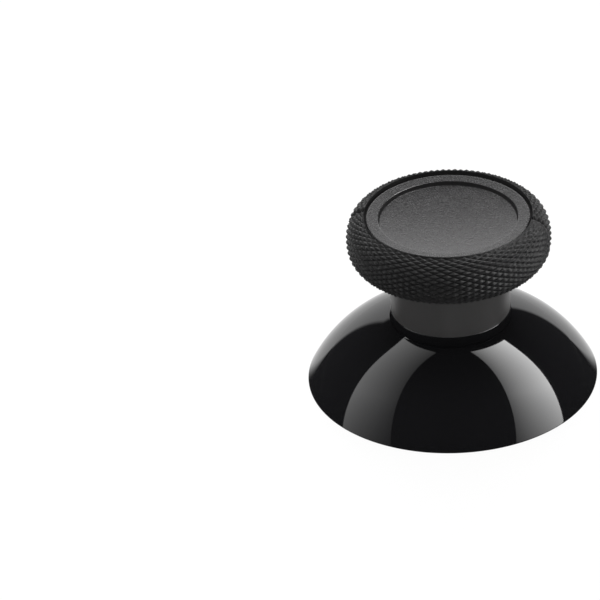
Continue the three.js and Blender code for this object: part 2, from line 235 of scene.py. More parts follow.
class Finishes(PropertyGroup):
    """Colours and roughness of the moulding and the grip"""

    gloss_colour: colour("Gloss", "Polished black plastic", (0.0100, 0.0100, 0.0112))
    satin_colour: colour("Satin", "Fine-matt black plastic of the neck", (0.056, 0.0545, 0.0545))
    foot_colour: colour("Foot", "Dull black plastic of the neck's foot", (0.0072, 0.0072, 0.0078))
    eroded_colour: colour("Eroded", "Spark-eroded black plastic inside", (0.0085, 0.0085, 0.0088))
    # The knurl's crest and valley tones hold painted light and shade: lighter crests, darker valleys.
    lit_crest_colour: colour("Crest", "Rubber on the knurl's crests", (0.0235, 0.0232, 0.0238))
    shaded_valley_colour: colour("Valley", "Rubber in the knurl's valleys", (0.0085, 0.0084, 0.0087))
    wall_colour: colour("Wall", "Rubber of the step and groove", (0.030, 0.0295, 0.030))
    # The seams' near-black colour is painted shade in their notches.
    seam_shade_colour: colour("Seam", "Rubber in the two mould seams", (0.004, 0.004, 0.0042))
    dish_colour: colour("Dish", "Rubber of the ring and dish", (0.037, 0.0362, 0.0376))
    gloss_roughness: share("Gloss roughness", "Roughness of the polished plastic", 0.035)
    satin_roughness: share("Satin roughness", "Roughness of the neck", 0.42)
    foot_roughness: share("Foot roughness", "Roughness of the neck's foot", 0.55)
    eroded_roughness: share("Eroded roughness", "Roughness of the inside", 0.5)
    knurl_roughness: share("Knurl roughness", "Roughness of the knurl", 0.5)
    dish_roughness: share("Dish roughness", "Roughness of the ring and dish", 0.23)
    knurl_gleam: share("Knurl gleam", "Specular level of the knurl", 0.33)
    dish_gleam: share("Dish gleam", "Specular level of the ring and dish", 1.0)


class StudioSettings(PropertyGroup):
    """Camera, softboxes, lamps and even light"""

    heading: turn("Heading", "Turn of the whole studio about the cap's axis", 9)
    elevation: turn("Elevation", "Camera above the horizon", 32.96)
    roll: turn("Roll", "Camera roll", 1.65)
    distance: length("Distance", "Camera from the origin", 0.350)
    lens: number("Lens", "Focal length in millimetres", 238.6)
    aim_across: number("Aim across", "Origin's place right of the frame's middle", 0.03836)
    aim_up: number("Aim up", "Origin's place above the frame's middle", -0.01823)
    box_lean: turn("Box lean", "Lean of the softboxes' long sides", 54)
    box_distance: length("Box distance", "From the origin to a softbox", 0.6)
    box_start: number("Box start", "A softbox's lower end, in box distances", -0.22)
    low_share: share("Low share", "Brightness left at a softbox's lower end", 0.3)
    low_reach: number("Low reach", "From a softbox's lower end to full brightness, in box distances", 0.75)
    right_outer: number("Right outer", "Brightness of the right box's outer side", 10.8)
    right_inner: number("Right inner", "Brightness of the right box's inner side", 1.9)
    left_outer: number("Left outer", "Brightness of the left box's outer side", 2.5)
    left_inner: number("Left inner", "Brightness of the left box's inner side", 0.5)
    right_outer_edge: triple("Right outer edge", "Its angle in degrees and two slopes", (-5.6, -10.7, 4.4))
    right_inner_edge: triple("Right inner edge", "Its angle in degrees and two slopes", (-46.5, -6.0, 0.0))
    right_top: triple("Right top", "Upper end at the two edges, and its bulge", (2.45, 2.84, 0.22))
    left_outer_edge: triple("Left outer edge", "Its angle in degrees and two slopes", (-176.7, 12.6, -5.0))
    left_inner_edge: triple("Left inner edge", "Its angle in degrees and two slopes", (-134.9, 7.7, 0.0))
    left_top: triple("Left top", "Upper end at the two edges, and its bulge", (2.99, 2.95, 0.84))
    ambient: number("Ambient", "Even light from all round", 0.42)
    overhead_power: number("Overhead power", "Overhead lamp, in watts", 6.0)
    left_power: number("Left power", "Low lamp on the left, in watts", 5.0)
    right_power: number("Right power", "Low lamp on the right, in watts", 5.0)
    rear_power: number("Rear power", "Low lamp behind the cap, in watts", 8.0)


def arc(centre, radius, start, stop, steps):
    """Points on a circle about the centre at even angles from start to stop."""
    angle = np.linspace(start, stop, steps + 1)
    return np.stack([centre[0] + radius * np.cos(angle), centre[1] + radius * np.sin(angle)], axis=1)


def joined(*parts):
    """One outline from rows of points, with repeated points left out."""
    points = np.concatenate([np.atleast_2d(np.asarray(part, dtype=float)) for part in parts])
    apart = np.linalg.norm(np.diff(points, axis=0), axis=1) > 1e-8
    return points[np.concatenate([[True], apart])]


def eased(points, reach, corner=0.35, steps=4, closed=False):
    """Rounds the corners of an outline that turn by more than the given angle in radians.

    A corner P between neighbours A and B becomes (1-s)^2 (P + t a) + 2 s (1-s) P + s^2 (P + t b), where a
    and b point from P to A and B, and t is the reach or, beside a short side, under half of that side.
    """
    before, after = np.roll(points, 1, axis=0) - points, np.roll(points, -1, axis=0) - points
    if not closed:
        before[0], after[-1] = -after[0], -before[-1]
    long_before = np.linalg.norm(before, axis=1, keepdims=True)
    long_after = np.linalg.norm(after, axis=1, keepdims=True)
    to_before, to_after = before / long_before, after / long_after
    bend = np.arccos(np.clip(-np.sum(to_before * to_after, axis=1), -1, 1))
    room = np.minimum(long_before, long_after)[:, 0] * 0.45
    t = np.where(bend > corner, np.minimum(reach, room), 0)
    if not closed:
        t[0] = t[-1] = 0
    s = np.linspace(0, 1, steps + 1)[None, :, None]
    p, t = points[:, None, :], t[:, None, None]
    start, stop = p + t * to_before[:, None, :], p + t * to_after[:, None, :]
    curve = (1 - s) ** 2 * start + 2 * s * (1 - s) * p + s ** 2 * stop
    return joined(curve.reshape(-1, 2))


def supported(points, near=0.00003, long_side=0.0003):
    """Adds a point near each end of every long side, so that the shading of flat faces stays flat."""
    side = np.diff(points, axis=0)
    size = np.linalg.norm(side, axis=1, keepdims=True)
    step = np.where(size > long_side, near / size, 0)
    first, second = points[:-1] + side * step, points[1:] - side * step
    rows = np.stack([points[:-1], first, np.where(step > 0, second, points[:-1])], axis=1)
    return joined(rows.reshape(-1, 2), points[-1:])


def resampled(points, most):
    """The same outline with no side longer than the given length."""
    size = np.linalg.norm(np.diff(points, axis=0), axis=1)
    counts = np.maximum(1, np.ceil(size / most).astype(int))
    index = np.repeat(np.arange(len(size)), counts)
    first = np.concatenate([[0], np.cumsum(counts)[:-1]])
    part = (np.arange(counts.sum()) - first[index]) / counts[index]
    return joined(points[index] + np.diff(points, axis=0)[index] * part[:, None], points[-1:])


def moulded(corners, reach):
    """An outline with softened corners and even sides, ready to be spun."""
    return resampled(supported(eased(corners, reach)), MOULDING_SIDE)


def spun(outline, columns):
    """Rows of points: each (radius, height) of the outline carried round the Z axis at even angles."""
    angle = np.arange(columns) / columns * 2 * np.pi
    radius, height = outline[:, 0, None], outline[:, 1, None]
    return np.stack([radius * np.cos(angle), radius * np.sin(angle), height + 0 * angle], axis=2)


def skin(rows, first_pole, last_pole, turned_diagonals=None):
    """Points and faces of a closed skin over rows that close on themselves, with a pole at each end.

    The faces are squares, or triangles where a table says which way each square's diagonal runs. They
    point outwards when the rows run up the outside of a solid and the columns run anticlockwise.
    """
    count, columns = rows.shape[:2]
    points = np.concatenate([rows.reshape(-1, 3), [first_pole, last_pole]])
    row = np.arange(count - 1)[:, None] * columns
    column = np.arange(columns)[None, :]
    right = (column + 1) % columns
    a, b, c, d = row + column, row + right, row + columns + right, row + columns + column
    if turned_diagonals is None:
        faces = np.stack([a, b, c, d], axis=2).reshape(-1, 4).tolist()
    else:
        turned = turned_diagonals[:, :, None]
        one = np.where(turned, np.stack([a, b, d], axis=2), np.stack([a, b, c], axis=2))
        two = np.where(turned, np.stack([b, c, d], axis=2), np.stack([a, c, d], axis=2))
        faces = np.concatenate([one.reshape(-1, 3), two.reshape(-1, 3)]).tolist()
    low, high, top_row = count * columns, count * columns + 1, (count - 1) * columns
    here, there = np.arange(columns), (np.arange(columns) + 1) % columns
    faces += np.stack([np.full(columns, low), there, here], axis=1).tolist()
    faces += np.stack([np.full(columns, high), top_row + here, top_row + there], axis=1).tolist()
    return points, faces


def ring_skin(rows):
    """Points and faces of a closed ring: closed rows, the last of them joined to the first."""
    count, columns = rows.shape[:2]
    row, column = np.arange(count)[:, None] * columns, np.arange(columns)[None, :]
    over, right = (row + columns) % (count * columns), (column + 1) % columns
    faces = np.stack([row + column, row + right, over + right, over + column], axis=2)
    return rows.reshape(-1, 3), faces.reshape(-1, 4).tolist()


def make_object(name, points, faces, materials=(), attributes=None, smooth=True, chosen=None):
    """A mesh object at the origin, with its place in its points and a number at each point per attribute.

    Chosen is a list of each face's place among the materials, where there are several.
    """
    mesh = bpy.data.meshes.new(name)
    mesh.from_pydata(np.asarray(points).tolist(), [], faces)
    mesh.polygons.foreach_set("use_smooth", [smooth] * len(mesh.polygons))
    for key, values in (attributes or {}).items():
        numbers = mesh.attributes.new(key, "FLOAT", "POINT").data
        numbers.foreach_set("value", np.asarray(values, dtype=np.float32))
    for material in materials:
        mesh.materials.append(material)
    if chosen:
        mesh.polygons.foreach_set("material_index", chosen)
    mesh.update()
    made = bpy.data.objects.new(name, mesh)
    bpy.context.scene.collection.objects.link(made)
    return made


def step_up(value, low, high):
    """A smooth step from 0 at low to 1 at high."""
    part = np.clip((value - low) / (high - low), 0, 1)
    return part * part * (3 - 2 * part)


def dome_centre(skirt):
    """Centre of the dome's arc, which runs from the rim's outer edge to the neck's surface."""
    rim = np.array([skirt.diameter / 2, 0])
    shoulder = np.array([skirt.neck_diameter / 2, skirt.dome_height])
    along = shoulder - rim
    inward = np.array([-along[1], along[0]]) / np.linalg.norm(along)
    return (rim + shoulder) / 2 + inward * math.sqrt(skirt.crown_radius ** 2 - along @ along / 4)


def dome_to_wall(skirt, arc_radius, wall_radius, corner_radius, steps):
    """A dome arc from the rim plane up to an upright wall, with a round in the corner between them."""
    centre = dome_centre(skirt)
    reach, across = arc_radius + corner_radius, wall_radius + corner_radius
    corner = (across, centre[1] + math.sqrt(reach ** 2 - (across - centre[0]) ** 2))
    meeting = math.atan2(corner[1] - centre[1], corner[0] - centre[0])
    dome = arc(centre, arc_radius, math.asin(-centre[1] / arc_radius), meeting, steps)
    return joined(dome, arc(corner, corner_radius, meeting - math.pi, -math.pi, CORNER_STEPS))


def side_point(grip, skirt, angle):
    """Radius and height of the knurl's crests, from -90 degrees at the bottom to 90 at the top.

    A superellipse quarter over and one under the widest place: cosine and sine to the power 2 / squareness.
    """
    power = 2 / np.where(angle > 0, grip.upper_power, grip.lower_power)
    widest = skirt.dome_height + skirt.neck_length + grip.lower_height
    inner = np.where(angle > 0, grip.ring_diameter / 2, skirt.neck_diameter / 2)
    height = np.where(angle > 0, grip.upper_height, grip.lower_height)
    radius = inner + (grip.diameter / 2 - inner) * np.cos(angle) ** power
    return np.stack([radius, widest + np.sign(angle) * height * np.abs(np.sin(angle)) ** power], axis=1)


def side_angle(grip, skirt, radius, sign):
    """The angle at which the side has the given radius, above (1) or below (-1) the widest place."""
    inner = grip.ring_diameter / 2 if sign > 0 else skirt.neck_diameter / 2
    power = grip.upper_power if sign > 0 else grip.lower_power
    return sign * math.acos(((radius - inner) / (grip.diameter / 2 - inner)) ** (power / 2))


def head_heights(skirt, grip):
    """Heights of the head's underside, its seat, its top, the ceiling of the bore, and the grip's ring."""
    under = skirt.dome_height + skirt.neck_length
    edge_angle = side_angle(grip, skirt, skirt.head_edge_diameter / 2, -1)
    seat = side_point(grip, skirt, np.array([edge_angle]))[0, 1]
    ring = under + grip.lower_height + grip.upper_height - grip.ring_drop
    top = ring - grip.dish_step - grip.dish_hollow - grip.skin
    return under, seat, top, top - skirt.ceiling, ring


def head_outline(skirt, seat, top, gap):
    """Waist, lip and top of the hidden head, grown by a gap where the grip is cut round it."""
    waist = skirt.head_edge_diameter / 2 - skirt.seat_width + gap
    lip = skirt.lip_diameter / 2 + gap
    lip_bottom = seat + skirt.waist_height - gap
    return np.array([
        [waist, seat],
        [waist, lip_bottom],
        [lip, lip_bottom + (lip - waist) / 2],
        [lip, top + gap - skirt.lip_chamfer],
        [lip - skirt.lip_chamfer, top + gap],
    ])


def polar_outline(points, angles):
    """Radius of a closed outline about its middle at each of the given angles, read between its points."""
    around = np.arctan2(points[:, 1], points[:, 0])
    order = np.argsort(around)
    around, radius = around[order], np.linalg.norm(points, axis=1)[order]
    around = np.concatenate([around - 2 * np.pi, around, around + 2 * np.pi])
    return np.interp(angles, around, np.tile(radius, 3))


def cross_outline(boss):
    """Boss and four arms in one outline, with a fillet where each side of an arm runs into the boss."""
    half, radius, fillet = boss.arm_width / 2, boss.diameter / 2, boss.root_round
    across = half + fillet
    along = math.sqrt((radius + fillet) ** 2 - across ** 2)
    lean = math.atan2(across, along)
    end = boss.arm_reach
    tip = np.array([[along, -half], [end, -half], [end, half], [along, half]])
    tip = resampled(eased(tip, boss.edge_round), TIP_SIDE)
    leaving = arc((along, across), fillet, -math.pi / 2, lean - math.pi, FILLET_STEPS)
    round_part = arc((0, 0), radius, lean, math.pi / 2 - lean, BOSS_STEPS)
    arriving = arc((across, along), fillet, math.pi / 2 - lean + math.pi, math.pi, FILLET_STEPS)
    quarter = joined(tip, leaving, round_part, arriving)[:-1]
    turns = np.arange(4) * np.pi / 2
    c, s = np.cos(turns)[:, None], np.sin(turns)[:, None]
    x, y = quarter[None, :, 0], quarter[None, :, 1]
    return np.stack([c * x - s * y, s * x + c * y], axis=2).reshape(-1, 2)


def socket_radius(boss, angle, widening):
    """Radius of the socket at each angle: the smaller of the round hole, widened at the mouth, and the
    distance to the nearer flat, with the groove's radius added where it cuts one flat."""
    from_flat = angle - boss.flats_turn
    facing = np.maximum(np.abs(np.cos(from_flat)), 1e-6)
    plain = np.minimum(boss.socket_diameter / 2 + widening, boss.across_flats / 2 / facing)
    middle = boss.across_flats / 2 + boss.relief_depth - boss.relief_radius
    across = middle * np.sin(from_flat)
    inside = boss.relief_radius ** 2 - across ** 2
    relief = middle * np.cos(from_flat) + np.sqrt(np.maximum(inside, 0))
    return np.maximum(plain, np.where((inside > 0) & (np.cos(from_flat) > 0), relief, 0))


def slab(outline, middle, levels, insets):
    """Rows over a flat outline carried along its normal: each level's points move in by that level's inset.

    The inset follows the outline's own normal, which is its side's direction turned by 90 degrees.
    """
    along = np.roll(outline, -1, axis=0) - np.roll(outline, 1, axis=0)
    along /= np.linalg.norm(along, axis=1, keepdims=True)
    inward = np.stack([-along[:, 1], along[:, 0]], axis=1)
    rows = outline[None] + inward[None] * np.asarray(insets)[:, None, None]
    level = np.broadcast_to(np.asarray(levels)[:, None, None], rows.shape[:2] + (1,))
    return np.concatenate([rows, level], axis=2), (*middle, levels[0]), (*middle, levels[-1])


def quarter_round(size, steps=4):
    """Levels and insets of a quarter round of the given size, from the flat end up to the side."""
    angle = np.linspace(0, np.pi / 2, steps + 1)
    return size * (1 - np.cos(angle)), size * (1 - np.sin(angle))


def set_inputs(tree, node, inputs):
    """Sets a node's inputs, each by its number or name. One that is given a socket is linked to it."""
    for key, value in inputs.items():
        socket = node.inputs[key]
        if isinstance(value, bpy.types.NodeSocket):
            tree.links.new(value, socket)
        elif socket.type == "RGBA":
            socket.default_value = (*value, 1)
        else:
            socket.default_value = value


def add(tree, kind, inputs=None, **settings):
    """A shader node with its settings and inputs."""
    node = tree.nodes.new(kind)
    for key, value in settings.items():
        setattr(node, key, value)
    set_inputs(tree, node, inputs or {})
    return node


def new_material(name):
    """A material with its node tree and Principled shader, ready for its nodes."""
    material = bpy.data.materials.new(name)
    material.use_nodes = True
    tree = material.node_tree
    return material, tree, tree.nodes["Principled BSDF"]


def mix_colour(tree, factor, first, second):
    """Socket of a colour that runs from first to second with the factor; each is a colour or a socket."""
    return add(tree, "ShaderNodeMix", {0: factor, 6: first, 7: second}, data_type="RGBA").outputs[2]


def mix_value(tree, factor, first, second):
    """Socket of a number that runs from first to second with the factor; each is a number or a socket."""
    return add(tree, "ShaderNodeMix", {0: factor, 2: first, 3: second}, data_type="FLOAT").outputs[0]


def varied(tree, factor, base, low, high):
    """Socket of a number that runs from low to high times its base with the factor."""
    return mix_value(tree, factor, base * low, base * high)


def calculated(tree, operation, first, second):
    """Socket of what an operation makes of two numbers or sockets."""
    return add(tree, "ShaderNodeMath", {0: first, 1: second}, operation=operation).outputs[0]


def brighter(colour_value, times):
    """A colour times a number."""
    return [channel * times for channel in colour_value]


def point_value(tree, name):
    """Socket of a piece's own number at each point."""
    return add(tree, "ShaderNodeAttribute", attribute_name=name).outputs["Fac"]


def grain_group():
    """Shared grain: two sizes of noise on Object coordinates in millimetres, as a height and a tone."""
    if "Moulded grain" in bpy.data.node_groups:
        return bpy.data.node_groups["Moulded grain"]
    group = bpy.data.node_groups.new("Moulded grain", "ShaderNodeTree")
    for name, in_out in (
        ("Grains per millimetre", "INPUT"), ("Clumping", "INPUT"), ("Height", "OUTPUT"), ("Tone", "OUTPUT"),
    ):
        group.interface.new_socket(name, in_out=in_out, socket_type="NodeSocketFloat")
    given = add(group, "NodeGroupInput").outputs
    place = add(group, "ShaderNodeTexCoord").outputs["Object"]
    in_millimetres = {0: place, "Scale": 1 / MILLIMETRE}
    scaled = add(group, "ShaderNodeVectorMath", in_millimetres, operation="SCALE").outputs[0]
    broad_scale = calculated(group, "MULTIPLY", given[0], 0.23)
    fine = {"Vector": scaled, "Scale": given[0], "Detail": 3.0, "Roughness": 0.6}
    broad = {"Vector": scaled, "Scale": broad_scale, "Detail": 2.0, "Roughness": 0.5}
    fine, broad = (add(group, "ShaderNodeTexNoise", inputs).outputs[0] for inputs in (fine, broad))
    add(group, "NodeGroupOutput", {"Height": mix_value(group, given[1], fine, broad), "Tone": broad})
    return group


def grain(tree, per_millimetre, clumping):
    """Outputs of a grain node in a material, with its own values."""
    return add(tree, "ShaderNodeGroup", {0: per_millimetre, 1: clumping}, node_tree=grain_group()).outputs


def bump(tree, height, strength, depth, under=None):
    """Socket of a bumped normal, over an earlier one if given; strength may vary over the surface."""
    inputs = {"Height": height, "Strength": strength, "Distance": depth}
    if under:
        inputs["Normal"] = under
    return add(tree, "ShaderNodeBump", inputs).outputs[0]


def moulding_material(finish):
    """Black plastic: polished outside, satin on the neck and spark-eroded inside, by the piece's numbers."""
    material, tree, shader = new_material("moulded_black_plastic")
    satin, eroded = point_value(tree, "satin"), point_value(tree, "eroded")
    pits, silk, swell = grain(tree, *PITS), grain(tree, *SILK), grain(tree, *SWELL)
    tint = mix_colour(tree, satin, finish.gloss_colour, finish.satin_colour)
    polish = varied(tree, swell["Tone"], finish.gloss_roughness, 0.8, 1.2)
    rough = mix_value(tree, satin, polish, finish.satin_roughness)
    silky = bump(tree, silk["Height"], mix_value(tree, satin, 0.0, 0.25), SILK_DEPTH)
    set_inputs(tree, shader, {
        "Base Color": mix_colour(tree, eroded, tint, finish.eroded_colour),
        "Roughness": mix_value(tree, eroded, rough, finish.eroded_roughness),
        "Normal": bump(tree, pits["Height"], mix_value(tree, eroded, 0.0, 0.9), PIT_DEPTH, silky),
    })
    return material


def dull_material(name, finish, base):
    """Dull black with no highlight, for the neck's foot, the grip's step and groove, and its seams."""
    material, tree, shader = new_material(name)
    silk = grain(tree, *SILK)["Height"]
    set_inputs(tree, shader, {
        "Base Color": mix_colour(tree, silk, brighter(base, 0.8), brighter(base, 1.2)),
        "Roughness": finish.foot_roughness,
        "Specular IOR Level": 0.0,
        "Normal": bump(tree, silk, 0.2, SILK_DEPTH),
    })
    return material


def boss_material(finish):
    """Black plastic of the boss, arms and webs: satin, with a fine eroded grain."""
    material, tree, shader = new_material("satin_black_plastic")
    fine, base = grain(tree, *ARM_GRAIN), finish.eroded_colour
    set_inputs(tree, shader, {
        "Base Color": mix_colour(tree, fine["Tone"], base, brighter(base, 1.5)),
        "Roughness": varied(tree, fine["Tone"], finish.satin_roughness, 0.9, 1.2),
        "Normal": bump(tree, fine["Height"], 0.35, ARM_DEPTH),
    })
    return material


def grained_rubber(tree, shader, tint, roughness, gleam, strength):
    """Rubber with a fine grain in its tone, roughness and bumps, and a broader wear in its tone.

    The roughness is given as its base and the least and most that it is multiplied by.
    """
    fine = grain(tree, *RUBBER_GRAIN)
    low, high = RUBBER_SPREAD
    spread = add(tree, "ShaderNodeMapRange", {0: fine["Height"], 1: low, 2: high}).outputs[0]
    wear = mix_value(tree, grain(tree, *WEAR)["Tone"], *WEAR_TONES)
    level = calculated(tree, "MULTIPLY", mix_value(tree, spread, *RUBBER_TONES), wear)
    toned = add(tree, "ShaderNodeVectorMath", {0: tint, "Scale": level}, operation="SCALE")
    set_inputs(tree, shader, {
        "Base Color": toned.outputs[0],
        "Roughness": varied(tree, spread, *roughness),
        "Specular IOR Level": gleam,
        "Normal": bump(tree, fine["Height"], strength, RUBBER_DEPTH),
    })


def knurl_material(finish):
    """Matte rubber of the knurl, with painted light on its crests and painted shade in its valleys."""
    material, tree, shader = new_material("knurled_black_rubber")
    crest_lighting = calculated(tree, "POWER", point_value(tree, "crest"), 0.7)
    tint = mix_colour(tree, crest_lighting, finish.shaded_valley_colour, finish.lit_crest_colour)
    grained_rubber(tree, shader, tint, (finish.knurl_roughness, 0.9, 1.1), finish.knurl_gleam, 0.35)
    return material


def top_material(finish):
    """Matte rubber of the ring and dish, whose fine grain glints towards the light behind it."""
    material, tree, shader = new_material("grained_black_rubber")
    tint = tuple(finish.dish_colour)
    grained_rubber(tree, shader, tint, (finish.dish_roughness, 0.7, 1.4), finish.dish_gleam, 0.6)
    return material


class SCENE_OT_cap_skirt(Operator):
    """Skirt, and the neck and head on it: outlines of (radius, height) carried round the axis"""

    bl_idname = "scene.cap_skirt"
    bl_label = "Skirt, neck and head"

    def execute(self, context):
        skirt, grip, finish = context.scene.cap_skirt, context.scene.cap_grip, context.scene.cap_finish
        plastic = moulding_material(finish)
        foot_plastic = dull_material("dull_black_plastic", finish, finish.foot_colour)
        for piece in (
            self.skirt_with_collar(skirt, plastic, foot_plastic),
            self.neck_and_head(skirt, grip, plastic),
        ):
            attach(piece, "root")
            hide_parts("skirt_and_stem")
        return {"FINISHED"}

    def skirt_with_collar(self, skirt, plastic, foot_plastic):
        """A ring: bore, inside, rim, dome, and the neck's dull foot with its fine ledge."""
        bore, neck, proud = skirt.bore_diameter / 2, skirt.neck_diameter / 2, skirt.collar_proud
        collar_top, columns = skirt.dome_height + skirt.collar_height, skirt.columns
        dome, hollow = skirt.crown_radius, skirt.crown_radius - skirt.wall
        inside = dome_to_wall(skirt, hollow, bore, skirt.bore_round, INSIDE_STEPS)[::-1]
        outside = dome_to_wall(skirt, dome, neck + proud, skirt.foot_round, DOME_STEPS)
        dome_end = outside[-CORNER_STEPS - 1, 1]
        ledge = arc((neck, collar_top), proud, 0, math.pi / 2, 6)
        closed_at = [[(bore + neck) / 2, collar_top + proud]]
        corners = joined(closed_at, [[bore, collar_top + proud]], inside, outside, ledge, closed_at)
        outline = moulded(corners, skirt.edge_round)[:-1]
        radius, height = outline.T
        # The innermost of the lowest points, which are all at one height, ends the inside.
        inner = np.arange(len(outline)) <= np.argmin(height + 1e-6 * radius)
        on_rim_face, over_rim = height < RIM_FACE_TOP, height > EROSION_START
        eroded = np.where(inner & over_rim, 1.0, RIM_EROSION * on_rim_face)
        middle = (outline + np.roll(outline, -1, axis=0)) / 2
        on_foot = ~inner & (middle[:, 1] > dome_end) & (middle[:, 1] < collar_top) & (middle[:, 0] > neck)
        points, faces = ring_skin(spun(outline, columns))
        chosen = np.repeat(on_foot, columns).astype(int).tolist()
        per_point = {"eroded": np.repeat(eroded, columns), "satin": np.zeros(len(points))}
        return make_object("skirt", points, faces, (plastic, foot_plastic), per_point, chosen=chosen)

    def neck_and_head(self, skirt, grip, plastic):
        """Neck with its bore, fillet, flange, waist, lip and top.

        The dome doesn't mirror it, so that the softboxes' reflections reach the neck's foot.
        """
        under, seat, top, ceiling = head_heights(skirt, grip)[:4]
        bore, neck, edge = skirt.bore_diameter / 2, skirt.neck_diameter / 2, skirt.head_edge_diameter / 2
        small, hidden = skirt.head_round, skirt.neck_overlap
        start = skirt.dome_height + skirt.collar_height + skirt.collar_proud
        inner = [[0, ceiling], [bore - skirt.bore_draft, ceiling], [bore, start], [bore + hidden, start]]
        foot = [[bore + hidden, start - hidden], [neck, start - hidden]]
        fillet = arc((neck + small, under - small), small, math.pi, math.pi / 2, FILLET_STEPS)
        flange = [[edge, under], [edge, seat]]
        corners = joined(inner, foot, fillet, flange, head_outline(skirt, seat, top, 0), [[0, top]])
        radius, height = moulded(corners, skirt.edge_round)[1:-1].T
        in_bore = np.arange(len(height)) < np.argmin(height)
        satin = np.where(in_bore, 0, 1 - step_up(radius - neck, *SATIN_FADE))
        rows = spun(np.stack([radius, height], axis=1), skirt.columns)
        points, faces = skin(rows, (0, 0, ceiling), (0, 0, top))
        per_point = {
            "eroded": np.append(np.repeat(in_bore, skirt.columns), [1, 0]),
            "satin": np.append(np.repeat(satin, skirt.columns), [0, 0]),
        }
        piece = make_object("neck_and_head", points, faces, [plastic], per_point)
        piece.visible_glossy = False
        return piece


class SCENE_OT_cap_boss(Operator):
    """Boss with its socket: a cross outline and a double-D outline inside it, read at the same angles"""

    bl_idname = "scene.cap_boss"
    bl_label = "Boss and socket"

    def execute(self, context):
        skirt, grip = context.scene.cap_skirt, context.scene.cap_grip
        boss, finish = context.scene.cap_boss, context.scene.cap_finish
        ceiling = head_heights(skirt, grip)[3]
        outer_points = cross_outline(boss)
        outer_angles = np.arctan2(outer_points[:, 1], outer_points[:, 0])
        flat_corner = math.acos(boss.across_flats / boss.socket_diameter)
        mouth_corner = math.acos(boss.across_flats / (boss.socket_diameter + 2 * boss.socket_chamfer))
        keys = boss.flats_turn + np.array([flat_corner, -flat_corner, mouth_corner, -mouth_corner])
        across_relief = boss.flats_turn + np.linspace(-RELIEF_SIDE, RELIEF_SIDE, RELIEF_ANGLES)
        keys = (np.concatenate([keys, keys + np.pi, across_relief]) + np.pi) % (2 * np.pi) - np.pi
        even = np.linspace(-np.pi, np.pi, EVEN_ANGLES, endpoint=False)
        angles = np.unique(np.round(np.concatenate([outer_angles, keys, even]), 6))
        angles = angles[np.diff(angles, append=angles[0] + 2 * np.pi) > SAME_ANGLE]
        outer = polar_outline(outer_points, angles)
        hole, mouth = socket_radius(boss, angles, 0), socket_radius(boss, angles, boss.socket_chamfer)
        face, end, small = boss.face_height, boss.face_height + boss.socket_depth, boss.edge_round
        levels, insets = quarter_round(small)
        radii = [hole * 0.5, hole - small, hole, hole, mouth, mouth + small / 2]
        heights = [end, end, end - small, face + boss.socket_chamfer, face + small / 4, face]
        radii += [(mouth + outer) / 2] + [outer - inset for inset in insets] + [outer, outer, outer * 0.5]
        top = ceiling + boss.hidden_above
        heights += [face] + [face + level for level in levels] + [face + 4 * small, top, top]
        radii, heights = np.array(radii), np.array(heights)[:, None] + 0 * angles
        rows = np.stack([radii * np.cos(angles), radii * np.sin(angles), heights], axis=2)
        points, faces = skin(rows, (0, 0, end), (0, 0, top))
        piece = make_object("post_boss", points, faces, [boss_material(finish)])
        piece.visible_glossy = False
        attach(piece, "root")
        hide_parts("skirt_and_stem")
        return {"FINISHED"}


class SCENE_OT_cap_arms(Operator):
    """Four arms: an end block with rounded edges and the thin web that climbs from it to the dome"""

    bl_idname = "scene.cap_arms"
    bl_label = "Arms and webs"

    def execute(self, context):
        boss, skirt = context.scene.cap_boss, context.scene.cap_skirt
        material = bpy.data.materials["satin_black_plastic"]
        small = boss.edge_round
        levels, insets = quarter_round(small)
        inner, outer = boss.arm_reach - boss.end_length, boss.arm_reach + boss.end_length
        half, bottom = boss.end_width / 2, boss.face_height + boss.end_setback
        block = np.array([[inner, -half], [outer, -half], [outer, half], [inner, half]])
        block = resampled(eased(block, small, closed=True), ARM_SIDE)
        top = skirt.dome_height - boss.hidden_below
        block_levels = np.append(bottom + levels, [bottom + 4 * small, top + WEB_OVERLAP / 2])
        block_part = skin(*slab(block, ((inner + outer) / 2, 0), block_levels, np.append(insets, [0, 0])))
        start, low = outer, bottom + boss.web_setback
        tip, tip_height = start + boss.web_reach, low + boss.web_rise
        side = np.array([
            [start - boss.end_length / 2, low],
            [start, low],
            [tip, tip_height],
            [tip + WEB_OVERLAP, tip_height + 2 * WEB_OVERLAP],
            [start + WEB_OVERLAP, top],
            [start - boss.end_length / 2, top],
        ])
        side = resampled(eased(side, small, closed=True), ARM_SIDE)
        thin, thin_insets = quarter_round(boss.web_thickness * WEB_ROUND)
        across = boss.web_thickness / 2
        web_levels = np.concatenate([-across + thin, (across - thin)[::-1]])
        web_insets = np.concatenate([thin_insets, thin_insets[::-1]])
        middle = start + 4 * WEB_OVERLAP, (low + top) / 2
        rows, first, last = slab(side, middle, web_levels, web_insets)
        upright = lambda p: np.stack([p[..., 0], -p[..., 2], p[..., 1]], axis=-1)
        web_part = skin(upright(rows), upright(np.array(first)), upright(np.array(last)))
        points = np.concatenate([block_part[0], web_part[0]])
        shift = len(block_part[0])
        faces = block_part[1] + [[i + shift for i in face] for face in web_part[1]]
        for number in range(4):
            angle = number * math.pi / 2
            c, s = math.cos(angle), math.sin(angle)
            turned = points @ np.array([[c, s, 0], [-s, c, 0], [0, 0, 1]])
            piece = make_object(f"arm_{number + 1}", turned, faces, [material])
            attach(piece, "root")
            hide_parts("skirt_and_stem")
        return {"FINISHED"}


